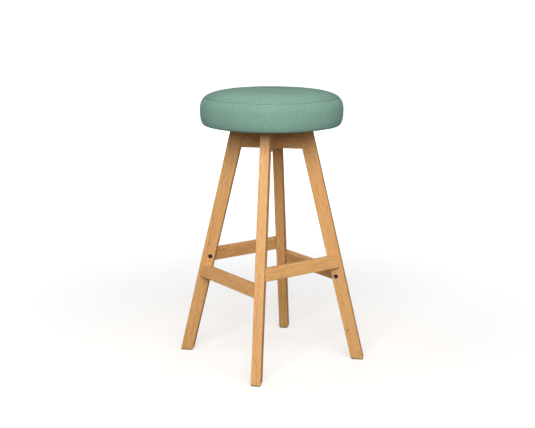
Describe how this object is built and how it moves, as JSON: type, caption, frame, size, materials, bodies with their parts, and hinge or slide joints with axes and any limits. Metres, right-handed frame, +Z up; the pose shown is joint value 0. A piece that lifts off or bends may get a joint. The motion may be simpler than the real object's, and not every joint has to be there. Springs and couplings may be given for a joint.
{
  "type": "bar stool",
  "caption": "Bar stool with a round upholstered seat on two crossing splayed oak A-frames, joined by bolted diagonal footrest rails.",
  "frame": {"origin": "on the floor, under the centre of the seat", "axes": "+Z up; one A-frame lies in the XZ plane (legs right at +X and left at -X), the other in the YZ plane (legs front at -Y and back at +Y)"},
  "size_m": [0.5242, 0.5242, 0.75],
  "materials": {
    "oak": "satin oiled oak",
    "wool_felt": "matte felted wool, sage green",
    "blackened_steel": "satin black",
    "zinc_plated_steel": "satin zinc plating",
    "beech": "matte, unfinished",
    "dark_nylon": "matte",
    "birch_plywood": "matte, unfinished",
    "seat_foam": "matte",
    "black_cloth": "matte"
  },
  "bodies": {
    "root": {"bolt_back_left_at_back": "blackened_steel", "bolt_back_left_at_left": "blackened_steel", "bolt_back_right_at_back": "blackened_steel", "bolt_back_right_at_right": "blackened_steel", "bolt_front_left_at_front": "blackened_steel", "bolt_front_left_at_left": "blackened_steel", "bolt_front_right_at_front": "blackened_steel", "bolt_front_right_at_right": "blackened_steel", "cover_side_band": "wool_felt", "cover_top_panel": "wool_felt", "cross_rail_front_back": "oak", "cross_rail_left_right": "oak", "dowel_back_lower": "beech", "dowel_back_upper": "beech", "dowel_front_lower": "beech", "dowel_front_upper": "beech", "dowel_left_lower": "beech", "dowel_left_upper": "beech", "dowel_right_lower": "beech", "dowel_right_upper": "beech", "dust_cover": "black_cloth", "footrest_back_left": "oak", "footrest_back_right": "oak", "footrest_front_left": "oak", "footrest_front_right": "oak", "glide_back": "dark_nylon", "glide_front": "dark_nylon", "glide_left": "dark_nylon", "glide_right": "dark_nylon", "insert_back_left_at_back": "zinc_plated_steel", "insert_back_left_at_left": "zinc_plated_steel", "insert_back_right_at_back": "zinc_plated_steel", "insert_back_right_at_right": "zinc_plated_steel", "insert_front_left_at_front": "zinc_plated_steel", "insert_front_left_at_left": "zinc_plated_steel", "insert_front_right_at_front": "zinc_plated_steel", "insert_front_right_at_right": "zinc_plated_steel", "leg_back": "oak", "leg_front": "oak", "leg_left": "oak", "leg_right": "oak", "seat_board": "birch_plywood", "seat_bolt_back": "blackened_steel", "seat_bolt_front": "blackened_steel", "seat_bolt_left": "blackened_steel", "seat_bolt_right": "blackened_steel", "seat_foam": "seat_foam", "tnut_back": "zinc_plated_steel", "tnut_front": "zinc_plated_steel", "tnut_left": "zinc_plated_steel", "tnut_right": "zinc_plated_steel"}
  },
  "joints": []
}
